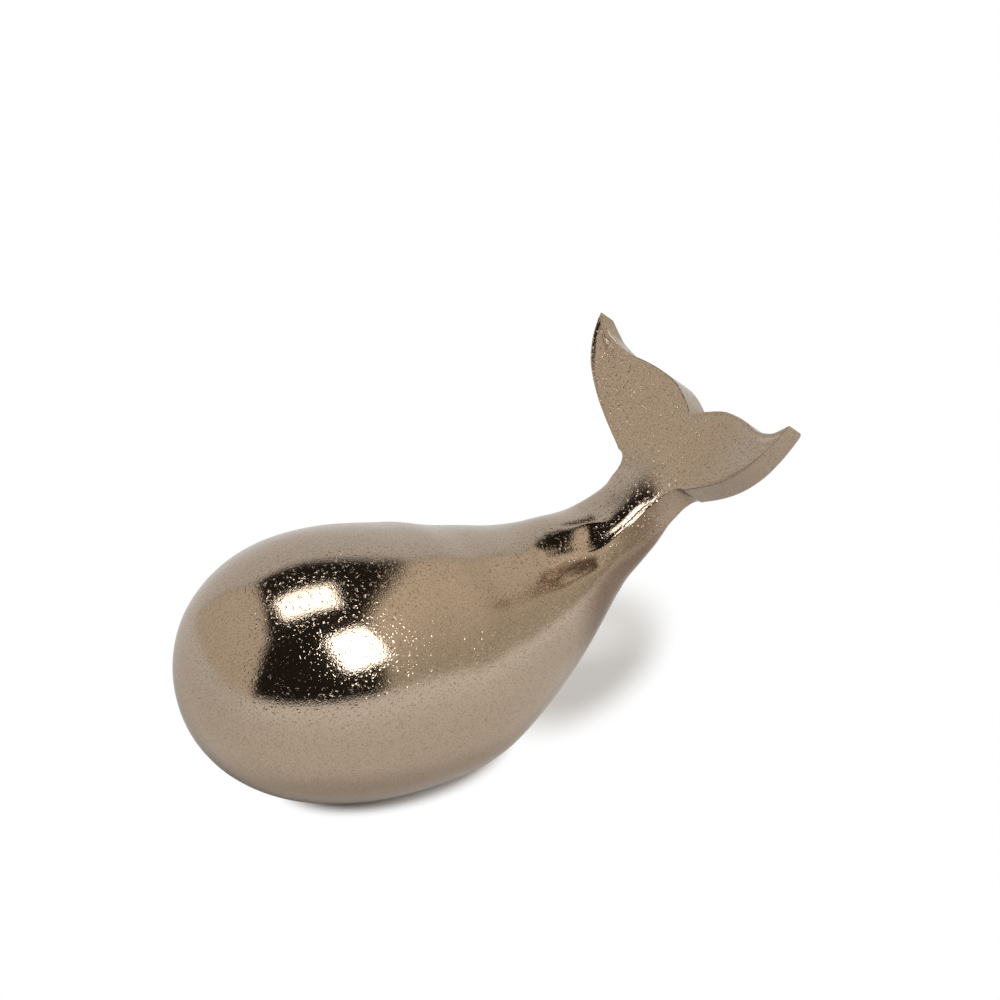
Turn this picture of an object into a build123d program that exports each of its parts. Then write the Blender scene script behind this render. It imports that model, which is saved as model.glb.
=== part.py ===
from build123d import *
import math
import os

# Whale figurine, millimetres. +Z is up and the head points to -X.
# The origin is on the table, under the middle of the flat foot.

# Outer form of the body, measured along its centre line from the nose
body_radius = 44.8          # largest radius, just behind the head
nose_length = 59.5          # from the nose to the largest radius
nose_bluntness = 2.27       # exponent of the nose curve, 2 would be an ellipse
head_tilt = 15.0            # degrees that the head's axis falls towards the tail
head_straight = 61.5        # length of centre line that is straight
belly_bend_radius = 119.5   # centre line radius where the body turns up
belly_bend = 36.4           # degrees turned by that bend
tail_bend_radius = 254.0    # centre line radius of the rising tail root
taper_length = 129.0        # from the largest radius to the end of the taper
taper_shares = (1.0, 0.980, 0.938, 0.822, 0.670, 0.511, 0.366, 0.285, 0.260)

# Casting
wall = 5.0                  # thickness of the hollow body's wall
floor_thickness = 7.0       # flat floor of the body around its opening
cavity_length = 128.0       # where the hollow ends, along the centre line

# Foot, where the belly is ground flat
foot_depth = 6.5            # how much belly the flat takes off
plate_margin = 7.0          # ground rim left outside the base plate
plate_thickness = 2.0
plate_clearance = 0.2       # all round the plate and above it
end_ledge = 9.0             # floor under the plate's ends
side_ledge = 4.5            # floor under the plate's sides
felt_thickness = 1.2
felt_margin = 4.0           # bare rim left outside the felt

# Base screws, M3 countersunk
base_screw_diameter = 3.0
base_screw_length = 6.0
base_head_diameter = 5.6
base_head_height = 1.7
base_screw_edge = 4.2       # from the plate's end to a screw's axis
base_slot_width = 1.0
base_slot_depth = 0.6

# Joint between body and tail
joint_distance = 152.0      # along the centre line from the nose
joint_tilt = 40.0           # degrees that the joint's axis rises
spigot_diameter = 16.0
spigot_length = 12.0
spigot_clearance = 0.1
spigot_end_gap = 0.6
web_thickness = 10.0        # metal between the spigot's socket and the screw's seat

# Tail screw, M6 socket head, with its washer
screw_diameter = 6.0
screw_length = 25.0
screw_head_diameter = 10.0
screw_head_height = 6.0
screw_hex = 5.0             # across the flats of the key's socket
screw_hex_depth = 3.0
screw_spare_depth = 3.0     # of the tapped hole past the screw's end
screw_seat_clearance = 1.5
washer_diameter = 12.0
washer_thickness = 1.6
washer_clearance = 0.2
thread_clearance = 0.05

# Dowel that keeps the fluke level
dowel_diameter = 3.0
dowel_length = 10.0
dowel_clearance = 0.05
dowel_offset = 12.2         # from the joint's axis, downwards
dowel_end_gap = 0.5

# Tail stem. Its crisp edges run from the joint to the armpits of the fluke. Each section has a
# half width at its widest, a narrower one at its edges, a depth from its edges to its
# underside, a round part of that depth, and a crown that its front rises over its edges.
joint_edge_half_width = 12.6
joint_crown = 7.0
shoulder_share = 0.42       # first section past the joint, as a share of the edges' run
shoulder_sag = 2.8          # of its edges under a straight line
shoulder_half_width = 14.4
shoulder_edge_half_width = 12.0
shoulder_depth = 20.9
shoulder_round = 11.0
shoulder_crown = 2.4
waist_share = 0.72          # second section, the narrowest
waist_sag = 2.0
waist_half_width = 13.2
waist_edge_half_width = 11.1
waist_depth = 15.9
waist_round = 6.0
waist_crown = 2.0
root_half_width = 13.6      # third section, at the armpits
root_edge_half_width = 12.8
root_depth = 14.2
root_round = 3.2
root_crown = 1.2
stem_end = 12.0             # where the stem fades out under the fluke, before the notch
stem_end_half_width = 11.0
stem_end_depth = 13.2
stem_end_round = 3.5
stem_end_sink = 1.5         # of its front under the fluke's face there

# Fluke. It lies on an inclined face, with its notch as that face's origin.
fluke_rise = 40.1           # from the joint's centre to the notch, upwards
fluke_reach = 44.7          # and backwards
fluke_tilt = 48.4           # degrees that the face rises
fluke_half_span = 50.5
fluke_depth = 35.0          # armpits to tips, along the face
fluke_root = 22.4           # armpits to notch, along the face
fluke_root_radius = 5.0     # hollow of each armpit
fluke_thickness = 12.8      # at the middle
fluke_front_radius = 116.0  # hollow of the front face
fluke_back_radius = 88.0    # crown of the back face
lead_shares = ((0.472, -0.555), (0.690, -0.355), (0.857, -0.125), (0.948, 0.094), (0.990, 0.280))
tip_share = (1.0, 0.375)
trail_shares = ((0.930, 0.300), (0.857, 0.238), (0.695, 0.188), (0.520, 0.208), (0.400, 0.210),
                (0.260, 0.186), (0.105, 0.090))

# Shared working values
overrun = 5.0               # how far a cutting tool passes through
nose_sections = 6           # sections of the nose's loft
body_sections = 9           # sections from there to its end
nose_share = 0.8            # of the nose's length that has the closer sections
outline_steps = 400         # fine steps for measuring the outline
half_turn = 180             # degrees


def spine_from_nose(distance):
    """Centre line: its x, its z and its angle, from a nose at zero."""
    angle = -math.radians(head_tilt)
    first = min(distance, head_straight)
    x = first * math.cos(angle)
    z = first * math.sin(angle)
    bends = ((belly_bend_radius, math.radians(belly_bend)), (tail_bend_radius, math.pi))
    left = distance - first
    for radius, turn in bends:
        if left <= 0:
            break
        step = min(left / radius, turn)
        x += radius * (math.sin(angle + step) - math.sin(angle))
        z += radius * (math.cos(angle) - math.cos(angle + step))
        angle += step
        left -= step * radius
    return x, z, angle


def taper_share(share):
    """Smooth curve through the taper shares, level at its start."""
    last = len(taper_shares) - 1
    place = min(max(share, 0), 1) * last
    i = min(int(place), last - 1)
    t = place - i

    def slope(k):
        if k == 0:
            return 0
        if k == last:
            return taper_shares[last] - taper_shares[last - 1]
        return (taper_shares[k + 1] - taper_shares[k - 1]) / 2

    a, b = taper_shares[i], taper_shares[i + 1]
    keep = (1 + 2 * t) * (1 - t) ** 2
    gain = t * t * (3 - 2 * t)
    return keep * a + gain * b + t * (1 - t) ** 2 * slope(i) - t * t * (1 - t) * slope(i + 1)


def body_radius_at(distance, inset=0):
    """Radius of the body, or of a form that lies inset inside it."""
    largest = body_radius - inset
    if distance < nose_length:
        share = max(distance - inset, 0) / (nose_length - inset)
        return largest * (1 - (1 - share) ** nose_bluntness) ** (1 / nose_bluntness)
    return body_radius * taper_share((distance - nose_length) / taper_length) - inset


def outline_from_nose(distance, side):
    """Point of the side outline, above the centre line for side 1 and below it for -1."""
    x, z, angle = spine_from_nose(distance)
    radius = body_radius_at(distance)
    return x - side * radius * math.sin(angle), z + side * radius * math.cos(angle)


# Where the nose goes, so that the flat foot is centred over the origin
body_length = nose_length + taper_length
walk = [body_length * k / outline_steps for k in range(outline_steps + 1)]
belly = [outline_from_nose(distance, -1) for distance in walk]
lowest = min(z for x, z in belly)
cut_away = [x for x, z in belly if z < lowest + foot_depth]
nose_x = -(min(cut_away) + max(cut_away)) / 2
nose_z = felt_thickness - foot_depth - lowest
foot_half_length = (max(cut_away) - min(cut_away)) / 2
foot_half_width = math.sqrt(body_radius ** 2 - (body_radius - foot_depth) ** 2)


def section_plane(distance):
    """Plane square to the centre line, its x axis along +Y."""
    x, z, angle = spine_from_nose(distance)
    return Plane(
        origin=(nose_x + x, 0, nose_z + z),
        x_dir=(0, 1, 0),
        z_dir=(math.cos(angle), 0, math.sin(angle)),
    )


def rounded_form(start, end, inset):
    """Loft of round sections from the nose, close together at first, to the given distance."""
    tip = section_plane(start).origin
    sections = [Vertex(tip.X, tip.Y, tip.Z)]
    nose_end = nose_length * nose_share
    for k in range(1, nose_sections + 1):
        share = 1 - math.cos(math.pi / 2 * k / nose_sections)
        distance = start + (nose_end - start) * share
        sections.append(section_plane(distance) * Circle(body_radius_at(distance, inset)))
    for k in range(1, body_sections + 1):
        distance = nose_end + (end - nose_end) * k / body_sections
        sections.append(section_plane(distance) * Circle(body_radius_at(distance, inset)))
    return loft(sections)


# Joint: its centre is on the body's centre line and its axis looks down through the foot's opening
joint_x, joint_z, joint_spine_angle = spine_from_nose(joint_distance)
joint_x += nose_x
joint_z += nose_z
tilt = math.radians(joint_tilt)
joint_plane = Plane(
    origin=(joint_x, 0, joint_z),
    x_dir=(0, 1, 0),
    z_dir=(math.cos(tilt), 0, math.sin(tilt)),
)


def joint_reach(side):
    """Height of the body's outline over the joint's centre, in the joint's plane."""
    nearest = None
    for distance in walk:
        x, z = outline_from_nose(distance, side)
        dx = x + nose_x - joint_x
        dz = z + nose_z - joint_z
        off = abs(dx * math.cos(tilt) + dz * math.sin(tilt))
        if distance > nose_length and (nearest is None or off < nearest[0]):
            nearest = (off, dz * math.cos(tilt) - dx * math.sin(tilt))
    return nearest[1]


def joint_cylinder(radius, start, end):
    """Cylinder along the joint's axis, from start to end past the joint's plane."""
    return extrude(joint_plane.offset(start) * Circle(radius), end - start)


def half_space_box(plane):
    """Large box whose bottom face lies on the given plane."""
    reach = 2 * body_length
    return extrude(plane * Rectangle(reach, reach), reach)


# Places along the joint's axis, past the joint's plane
socket_end = -spigot_length - spigot_end_gap
seat_start = socket_end - web_thickness
head_start = seat_start - washer_thickness
screw_end = head_start + screw_length


def make_body_shell():
    form = rounded_form(0, joint_distance + body_radius_at(joint_distance), 0)
    form -= half_space_box(joint_plane)
    rim_plane = Plane(origin=(0, 0, felt_thickness), z_dir=(0, 0, -1))
    form -= half_space_box(rim_plane)
    cavity = rounded_form(wall, cavity_length, wall)
    floor_plane = Plane(origin=(0, 0, felt_thickness + floor_thickness), z_dir=(0, 0, -1))
    cavity -= half_space_box(floor_plane)
    form -= cavity
    form -= foot_oval(foot_half_length - plate_margin - end_ledge,
                      foot_half_width - plate_margin - side_ledge,
                      -overrun, felt_thickness + floor_thickness + overrun)
    form -= foot_oval(foot_half_length - plate_margin + plate_clearance,
                      foot_half_width - plate_margin + plate_clearance,
                      -overrun, plate_top + plate_clearance)
    for place in base_screw_places:
        form -= Pos(place, 0, 0) * upright(base_screw_diameter / 2 + thread_clearance,
                                           felt_thickness, felt_thickness + floor_thickness + overrun)
    form -= joint_cylinder(spigot_diameter / 2 + spigot_clearance, socket_end, overrun)
    form -= joint_cylinder(screw_diameter / 2 + washer_clearance, seat_start - overrun, 0)
    seat_length = screw_head_height + washer_thickness + web_thickness
    form -= joint_cylinder(washer_diameter / 2 + screw_seat_clearance,
                           seat_start - seat_length, seat_start)
    form -= dowel_hole(-1)
    return form


# Foot, from the table upwards
plate_top = felt_thickness + plate_thickness
plate_half_length = foot_half_length - plate_margin
plate_half_width = foot_half_width - plate_margin
base_screw_places = (-plate_half_length + base_screw_edge, plate_half_length - base_screw_edge)


def foot_oval(half_length, half_width, bottom, top):
    """Oval plate or cutter between two heights."""
    return Pos(0, 0, bottom) * extrude(Ellipse(half_length, half_width), top - bottom)


def upright(radius, bottom, top):
    """Upright cylinder between two heights."""
    return Pos(0, 0, bottom) * extrude(Circle(radius), top - bottom)


def base_screw_cone(grow):
    """Countersunk head, its flat side down on the plate's lower face."""
    head = base_head_diameter / 2 + grow
    shank = base_screw_diameter / 2 + grow
    cone = Cone(head, shank, base_head_height)
    return Pos(0, 0, felt_thickness + base_head_height / 2) * cone


def make_base_plate():
    plate = foot_oval(plate_half_length, plate_half_width, felt_thickness, plate_top)
    for place in base_screw_places:
        plate -= Pos(place, 0, 0) * base_screw_cone(thread_clearance)
        plate -= Pos(place, 0, 0) * upright(base_screw_diameter / 2 + thread_clearance,
                                            felt_thickness, plate_top + overrun)
    return plate


def make_base_screw():
    screw = base_screw_cone(0)
    screw += upright(base_screw_diameter / 2, felt_thickness, felt_thickness + base_screw_length)
    slot = Box(base_head_diameter + overrun, base_slot_width, 2 * base_slot_depth)
    return screw - Pos(0, 0, felt_thickness) * slot


def make_felt_pad():
    return foot_oval(foot_half_length - felt_margin, foot_half_width - felt_margin, 0, felt_thickness)


def make_tail_screw():
    screw = joint_cylinder(screw_diameter / 2, head_start, screw_end)
    screw += joint_cylinder(screw_head_diameter / 2, head_start - screw_head_height, head_start)
    key = RegularPolygon(screw_hex / 2, 6, major_radius=False)
    key_plane = joint_plane.offset(head_start - screw_head_height)
    return screw - extrude(key_plane * key, screw_hex_depth)


def make_tail_washer():
    ring = joint_cylinder(washer_diameter / 2, head_start, seat_start)
    return ring - joint_cylinder(screw_diameter / 2 + washer_clearance, head_start, seat_start)


def dowel_at(radius, start, end):
    """Cylinder beside the joint's axis, on the dowel's own axis."""
    plane = joint_plane.offset(start) * Pos(0, -dowel_offset, 0)
    return extrude(plane * Circle(radius), end - start)


def dowel_hole(side):
    """Blind hole for half of the dowel, in the body for side -1 and in the tail for 1."""
    depth = dowel_length / 2 + dowel_end_gap
    return dowel_at(dowel_diameter / 2 + dowel_clearance, min(0, side * depth), max(0, side * depth))


def make_tail_dowel():
    return dowel_at(dowel_diameter / 2, -dowel_length / 2, dowel_length / 2)


# Fluke face: its x axis runs across the tail and its y axis up the face
face_angle = math.radians(fluke_tilt)
face_plane = Plane(
    origin=(joint_x + fluke_reach, 0, joint_z + fluke_rise),
    x_dir=(0, -1, 0),
    z_dir=(-math.sin(face_angle), 0, math.cos(face_angle)),
)


def stem_section(plane, ridge, crown, depth, half_width, edge_half_width, round_height):
    """Section with a round underside, two edges and a crowned front.

    ridge is the height of the edges in the plane. Under them the sides curve out to the
    widest place, where the round underside starts.
    """
    centre = ridge - depth + round_height
    under = EllipticalCenterArc((0, centre), half_width, round_height, half_turn, arc_size=half_turn)
    right = TangentArc(under @ 1, (edge_half_width, ridge), tangent=(0, 1))
    front = ThreePointArc((edge_half_width, ridge), (0, ridge + crown), (-edge_half_width, ridge))
    left = TangentArc(under @ 0, (-edge_half_width, ridge), tangent=(0, 1))
    return plane * make_face([under, right, front, left])


def make_stem():
    """Loft of the tail stem, from the joint to under the fluke's notch."""
    top, bottom = joint_reach(1), joint_reach(-1)
    at_joint = stem_section(joint_plane, top - joint_crown, joint_crown,
                            top - joint_crown - bottom, body_radius_at(joint_distance),
                            joint_edge_half_width, (top - bottom) / 2)
    first = joint_plane.from_local_coords(Vector(0, top - joint_crown, 0))
    last = face_plane.from_local_coords(Vector(0, -fluke_root, 0))

    def along(share, sag):
        """Plane across the stem, its origin level with the edges."""
        angle = tilt + (face_angle - tilt) * share
        place = first + (last - first) * share - Vector(0, 0, sag)
        return Plane(origin=place, x_dir=(0, 1, 0), z_dir=(math.cos(angle), 0, math.sin(angle)))

    at_shoulder = stem_section(along(shoulder_share, shoulder_sag), 0, shoulder_crown,
                               shoulder_depth, shoulder_half_width, shoulder_edge_half_width,
                               shoulder_round)
    at_waist = stem_section(along(waist_share, waist_sag), 0, waist_crown, waist_depth,
                            waist_half_width, waist_edge_half_width, waist_round)
    at_root = stem_section(along(1, 0), 0, root_crown, root_depth, root_half_width,
                           root_edge_half_width, root_round)
    end = Plane(origin=face_plane.from_local_coords(Vector(0, -stem_end, 0)), x_dir=(0, 1, 0),
                z_dir=(math.cos(face_angle), 0, math.sin(face_angle)))
    at_end = stem_section(end, -stem_end_sink - root_crown, root_crown,
                          stem_end_depth - stem_end_sink - root_crown, stem_end_half_width,
                          stem_end_half_width - root_crown, stem_end_round)
    return loft([at_joint, at_shoulder, at_waist, at_root, at_end])


def make_fluke():
    """Fluke plate: its outline, between a hollow front and a crowned back."""
    def place(share):
        return share[0] * fluke_half_span, share[1] * fluke_depth

    root = -fluke_root - fluke_root_radius
    armpit = (root_edge_half_width + fluke_root_radius, -fluke_root)
    start = Line((0, root), (root_edge_half_width, root))
    hollow = RadiusArc(start @ 1, armpit, fluke_root_radius)
    lead = Spline(armpit, *[place(share) for share in lead_shares], place(tip_share))
    trail = Spline(place(tip_share), *[place(share) for share in trail_shares], (0, 0))
    half = make_face([start, hollow, lead, trail, Line((0, 0), (0, root))])
    outline = half + mirror(half, Plane.YZ)
    deep = 2 * fluke_thickness
    blank = extrude(face_plane.offset(-deep) * outline, 2 * deep)
    length = 2 * (fluke_depth + fluke_root)
    front = face_plane * Pos(0, 0, fluke_front_radius) * Rot(90, 0, 0)
    back = face_plane * Pos(0, 0, fluke_back_radius - fluke_thickness) * Rot(90, 0, 0)
    blank &= back * Cylinder(fluke_back_radius, length)
    return blank - front * Cylinder(fluke_front_radius, length)


def make_tail_fluke():
    tail = make_stem() + make_fluke()
    tail += joint_cylinder(spigot_diameter / 2, -spigot_length, 0)
    tail -= joint_cylinder(screw_diameter / 2 + thread_clearance, -spigot_length - overrun,
                           screw_end + screw_spare_depth)
    return tail - dowel_hole(1)


os.makedirs("parts", exist_ok=True)
for name, solid in (
    ("body_shell", make_body_shell()),
    ("tail_fluke", make_tail_fluke()),
    ("tail_screw", make_tail_screw()),
    ("tail_washer", make_tail_washer()),
    ("tail_dowel", make_tail_dowel()),
    ("base_plate", make_base_plate()),
    ("base_screw_front", Pos(base_screw_places[0], 0, 0) * make_base_screw()),
    ("base_screw_rear", Pos(base_screw_places[1], 0, 0) * make_base_screw()),
    ("felt_pad", make_felt_pad()),
):
    export_step(solid, os.path.join("parts", name + ".step"))
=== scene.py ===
import bmesh
import bpy
import math
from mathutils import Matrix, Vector, geometry, kdtree, noise


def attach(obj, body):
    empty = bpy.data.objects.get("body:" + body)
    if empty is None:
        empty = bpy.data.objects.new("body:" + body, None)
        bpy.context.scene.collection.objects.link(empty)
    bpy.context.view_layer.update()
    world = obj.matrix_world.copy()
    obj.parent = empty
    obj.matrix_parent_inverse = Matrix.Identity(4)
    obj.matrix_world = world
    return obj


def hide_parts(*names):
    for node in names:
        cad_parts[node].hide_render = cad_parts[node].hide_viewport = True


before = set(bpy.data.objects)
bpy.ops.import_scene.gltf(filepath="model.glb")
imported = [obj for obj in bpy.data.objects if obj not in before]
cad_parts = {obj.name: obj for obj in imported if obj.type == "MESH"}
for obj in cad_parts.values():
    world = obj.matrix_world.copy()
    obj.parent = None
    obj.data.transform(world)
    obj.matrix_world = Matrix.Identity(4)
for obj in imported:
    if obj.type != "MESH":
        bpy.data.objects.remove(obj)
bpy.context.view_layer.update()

# Whale figurine. Lengths are in millimetres until a mesh is written, which turns them to metres.
MM = 0.001

# Body casting, measured along its centre line from the nose
NOSE_X, NOSE_Z = -73.19, 57.45
BODY_RADIUS = 44.8
NOSE_LENGTH = 59.5
NOSE_BLUNTNESS = 2.27
HEAD_TILT = 15.0
HEAD_STRAIGHT = 61.5
BELLY_BEND_RADIUS, BELLY_BEND = 119.5, 36.4
TAIL_BEND_RADIUS = 254.0
TAPER_LENGTH = 129.0
TAPER_SHARES = (1.0, 0.980, 0.938, 0.822, 0.670, 0.511, 0.366, 0.285, 0.260)
FOOT_HEIGHT = 1.2           # the felt's thickness
FOOT_HALF_LENGTH, FOOT_HALF_WIDTH = 35.1, 23.2
PLATE_HALF_LENGTH, PLATE_HALF_WIDTH = 28.1, 16.24
FELT_HALF_LENGTH, FELT_HALF_WIDTH = 31.1, 19.24
BODY_COLUMNS = 288          # points round the body

# Joint where the tail casting leaves the body
JOINT = Vector((74.17, 0, 51.41))
JOINT_TILT = 40.0
AXIS = Vector((math.cos(math.radians(JOINT_TILT)), 0, math.sin(math.radians(JOINT_TILT))))

# Form of the tail root. The crease's line has x and z.
ROOT_X, ROOT_Z = (37, 90), 52   # where the forms of the root lie, along x and over this height
SMOOTH_SIDE = 6             # y from which the root is ground smooth
SMOOTH_WIDTH = 15           # and how wide the change to the crisp side is
SHOULDER_FALL = 0.12        # how far the near shoulder falls below the round skin
SHOULDER_RADIUS, SHOULDER_DROP = 18.5, 4.0
SHOULDER_START, SHOULDER_END = (44, 52), (1, 6)     # along x, and along the axis past the joint
CREASE = ((37.5, 62.8), (45.1, 61.7), (52.4, 60.6), (59.6, 60.3), (64.0, 59.9), (68.4, 59.1))
CREASE_DEPTH, CREASE_WIDTH = 1.3, 1.9
CREASE_START, CREASE_END = (40, 62), (62, 76)       # where it grows and fades along x
LIP_RISE = 0.25
LIP_START, LIP_END = (58, 63), (65, 71)
CUFF_LENGTH = 6.0           # where the stem's front steps down out of the body, beside its edges
CUFF_MIDDLE = 14            # the same step in the middle of the front
CUFF_HALF_WIDTH = 13
CUFF_START, CUFF_SLANT = 1.5, 0.25
FLANK_LENGTH = 20.0         # the same step low on the flank, drawn out until it disappears
FLANK_DEPTH = 6
EDGE_DEPTH = 2.5            # how far down the flank the crisp edge is kept
ROOT_END = 0.45             # place on the edge line where the stem stands free of the body
ROOT_CORE = 11              # from the edge line in to the point that the skin is looked for from
# The tail's mesh runs on behind the joint, at first over the body's skin and then sinking under it
COLLAR_PLACE, COLLAR_RISE, COLLAR_DEPTH = 0.145, 0.03, 0.4

# Tail casting. Its crisp front edges lie beside this line in the plane of symmetry, as x and z.
# The line's parameter is 0 at the joint, 1 at the armpits and 2 at the notch of the fluke.
FLUKE_TILT = 48.4
FLUKE_ROOT = 22.4           # armpits to notch
EDGE_LINE = ((0, 65.8, 61.65), (0.07, 69.1, 61.4), (0.13, 71.9, 61.35), (0.19, 74.7, 61.6),
             (0.27, 78.0, 62.35), (0.36, 81.3, 63.3), (0.5, 86.9, 65.2), (0.68, 92.5, 67.9),
             (0.84, 98.2, 71.4), (1.0, 103.2, 75.0), (1.25, 107.72, 78.95), (2, 118.87, 91.51))
WAIST = 0.777               # place where the stem starts to widen into the fluke
EDGE_WIDTH = ((0, 14.5), (0.07, 14.3), (0.13, 14.0), (0.19, 13.65), (0.27, 12.95), (0.36, 12.35),
              (0.5, 11.6), (0.68, 11.0), (WAIST, 11.9))
CROWN = ((0, 5.6), (0.1, 4.6), (0.2, 3.6), (0.3, 2.9), (0.45, 2.4), (0.72, 2.0), (1, 0.9), (1.4, 0.3), (2, 0))
SIDE_WIDTH = ((0, 17.8), (0.42, 14.4), (0.72, 13.2), (1, 13.6), (2, 13.6))
SIDE_DEPTH = ((0, 9.8), (0.42, 9.6), (0.72, 9.8), (1, 11.0), (2, 11.0))
UNDER_DEPTH = ((0, 19.0), (0.42, 11.0), (0.72, 6.0), (1, 3.2), (2, 3.2))

# Fluke, across and up its face from the notch
ARMPIT = (17.8, -22.4)
ARMPIT_START = (11.9, -27.4)
LEAD = ((23.84, -19.4), (34.85, -12.4), (43.3, -4.4), (47.9, 3.3), (50.0, 9.8))
TIP = (50.5, 13.1)
TRAIL = ((47.0, 10.5), (43.3, 8.3), (35.1, 6.6), (26.3, 7.3), (20.2, 7.35), (13.1, 6.5), (5.3, 3.15))
FLUKE_THICKNESS = 12.8
FRONT_HOLLOW = 116.0        # radius of the hollow face
BACK_CROWN = 88.0           # radius of the crowned back
FRONT_ROUND = 0.4           # rounding of the crisp front edges
BACK_ROUND = 1.2            # rounding of the back edges
# Places on the edge line between which the stem's front turns into the fluke's
CROWN_CHANGE, HOLLOW_CHANGE, LINE_CHANGE = (0.6, 0.95), (0.7, 1.2), (0.75, 1.05)
STEM_LINE, NEAR_LINE, FAR_LINE = 0.12, 0.26, 0.1    # depth of the fine line inside the front edges
TIP_DISH = 0.32             # depth of the hollow near the fluke's tips
BACK_BOSS = 1.4             # thickening behind the fluke's root

# Meshes
BODY_END = 176              # along the centre line, past the joint
ROW_STEP, FINE_ROW_STEP, FINE_FROM = 1.1, 0.7, 105
NOSE_ROWS = 60
PLATE_PLAY, PLATE_RECESS = 0.2, 2.2
ROOT_UP = -29.0             # where the stem's rings meet the fluke's sheets
OUTLINE_STEP = 0.55
FACE_PITCH = 0.95           # between points inside the fluke's faces
WALL_STEPS = 26
GAPS = (0.0, 0.09, 0.22, 0.38, 0.6, 0.85, 1.1, 1.35, 1.65, 2.1, 2.7, 3.5, 4.5)


def smooth(value):
    """Ease from 0 to 1."""
    t = min(max(value, 0.0), 1.0)
    return t * t * (3 - 2 * t)


def fade(value, ends):
    """Ease from 0 at the first end to 1 at the second."""
    return smooth((value - ends[0]) / (ends[1] - ends[0]))


def mix(a, b, share):
    return a + (b - a) * share


def through(points, place, item=1):
    """Value at a place on a smooth curve through points, each a place and its values."""
    last = len(points) - 1
    if place <= points[0][0]:
        slope = (points[1][item] - points[0][item]) / (points[1][0] - points[0][0])
        return points[0][item] + slope * (place - points[0][0])
    if place >= points[last][0]:
        slope = (points[last][item] - points[last - 1][item]) / (points[last][0] - points[last - 1][0])
        return points[last][item] + slope * (place - points[last][0])
    i = max(k for k in range(last) if points[k][0] <= place)

    def slope_at(k):
        a, b = max(k - 1, 0), min(k + 1, last)
        return (points[b][item] - points[a][item]) / (points[b][0] - points[a][0])

    step = points[i + 1][0] - points[i][0]
    t = (place - points[i][0]) / step
    keep = (1 + 2 * t) * (1 - t) ** 2
    gain = t * t * (3 - 2 * t)
    bend = step * (t * (1 - t) ** 2 * slope_at(i) - t * t * (1 - t) * slope_at(i + 1))
    return keep * points[i][item] + gain * points[i + 1][item] + bend


# Body

BLEND = ((-1.0, 1), (-0.75, 2), (-0.5, 3), (-0.25, 4), (0, 5), (0.25, 4), (0.5, 3), (0.75, 2), (1.0, 1))
BLEND_REACH = 9.0
BLEND_START = (20, 50)      # the nose is left as it is


def blended(rule, distance):
    """Mean of a rule's values on both sides of a distance, so that its bends run into each other."""
    reach = BLEND_REACH * fade(distance, BLEND_START)
    if reach < 0.01:
        return rule(distance)
    total = sum(weight for _, weight in BLEND)
    return sum((rule(distance + share * reach) * (weight / total) for share, weight in BLEND),
               0 * rule(distance))


def centre_line(distance):
    """Point on the body's centre line and its slope."""
    x, z, angle = blended(plain_centre_line, distance)
    z -= 0.8 * math.exp(-((distance - 98) / 13) ** 2) - 0.4 * math.exp(-((distance - 120) / 11) ** 2)
    return Vector((NOSE_X + x, 0, NOSE_Z + z)), angle


def body_radius(distance):
    return blended(plain_radius, distance)


def plain_centre_line(distance):
    """x and z from the nose, and the slope, along a straight line and two arcs."""
    angle = -math.radians(HEAD_TILT)
    first = min(distance, HEAD_STRAIGHT)
    x, z = first * math.cos(angle), first * math.sin(angle)
    left = distance - first
    for radius, turn in ((BELLY_BEND_RADIUS, math.radians(BELLY_BEND)), (TAIL_BEND_RADIUS, math.pi)):
        if left <= 0:
            break
        step = min(left / radius, turn)
        x += radius * (math.sin(angle + step) - math.sin(angle))
        z += radius * (math.cos(angle) - math.cos(angle + step))
        angle += step
        left -= step * radius
    return Vector((x, z, angle))


def plain_radius(distance):
    if distance < NOSE_LENGTH:
        share = max(distance, 0) / NOSE_LENGTH
        return BODY_RADIUS * (1 - (1 - share) ** NOSE_BLUNTNESS) ** (1 / NOSE_BLUNTNESS)
    last = len(TAPER_SHARES) - 1
    place = min((distance - NOSE_LENGTH) / TAPER_LENGTH, 1) * last
    i = min(int(place), last - 1)
    t = place - i

    def slope(k):
        if k == 0:
            return 0
        if k == last:
            return TAPER_SHARES[last] - TAPER_SHARES[last - 1]
        return (TAPER_SHARES[k + 1] - TAPER_SHARES[k - 1]) / 2

    keep = (1 + 2 * t) * (1 - t) ** 2
    gain = t * t * (3 - 2 * t)
    share = keep * TAPER_SHARES[i] + gain * TAPER_SHARES[i + 1]
    share += t * (1 - t) ** 2 * slope(i) - t * t * (1 - t) * slope(i + 1)
    return BODY_RADIUS * share


def body_point(distance, turn):
    """Point of the body's skin. turn is 0 at the top and grows towards +Y."""
    centre, angle = centre_line(distance)
    radius = body_radius(distance)
    up = Vector((-math.sin(angle), 0, math.cos(angle)))
    return centre + radius * (math.cos(turn) * up + math.sin(turn) * Vector((0, 1, 0)))


def on_body(origin, direction):
    """Where a ray from inside the body meets its skin."""
    reach, distance = 18.0, 150.0
    for _ in range(14):
        point = origin + reach * direction
        for _ in range(3):
            centre, angle = centre_line(distance)
            distance += (point - centre).dot(Vector((math.cos(angle), 0, math.sin(angle))))
        centre, angle = centre_line(distance)
        reach -= (point - centre).length - body_radius(distance)
    return origin + reach * direction


def near_side(point):
    """1 on the side where the forms of the root are crisp and 0 where they are ground smooth."""
    return smooth((SMOOTH_SIDE - point.y) / SMOOTH_WIDTH)


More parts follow.
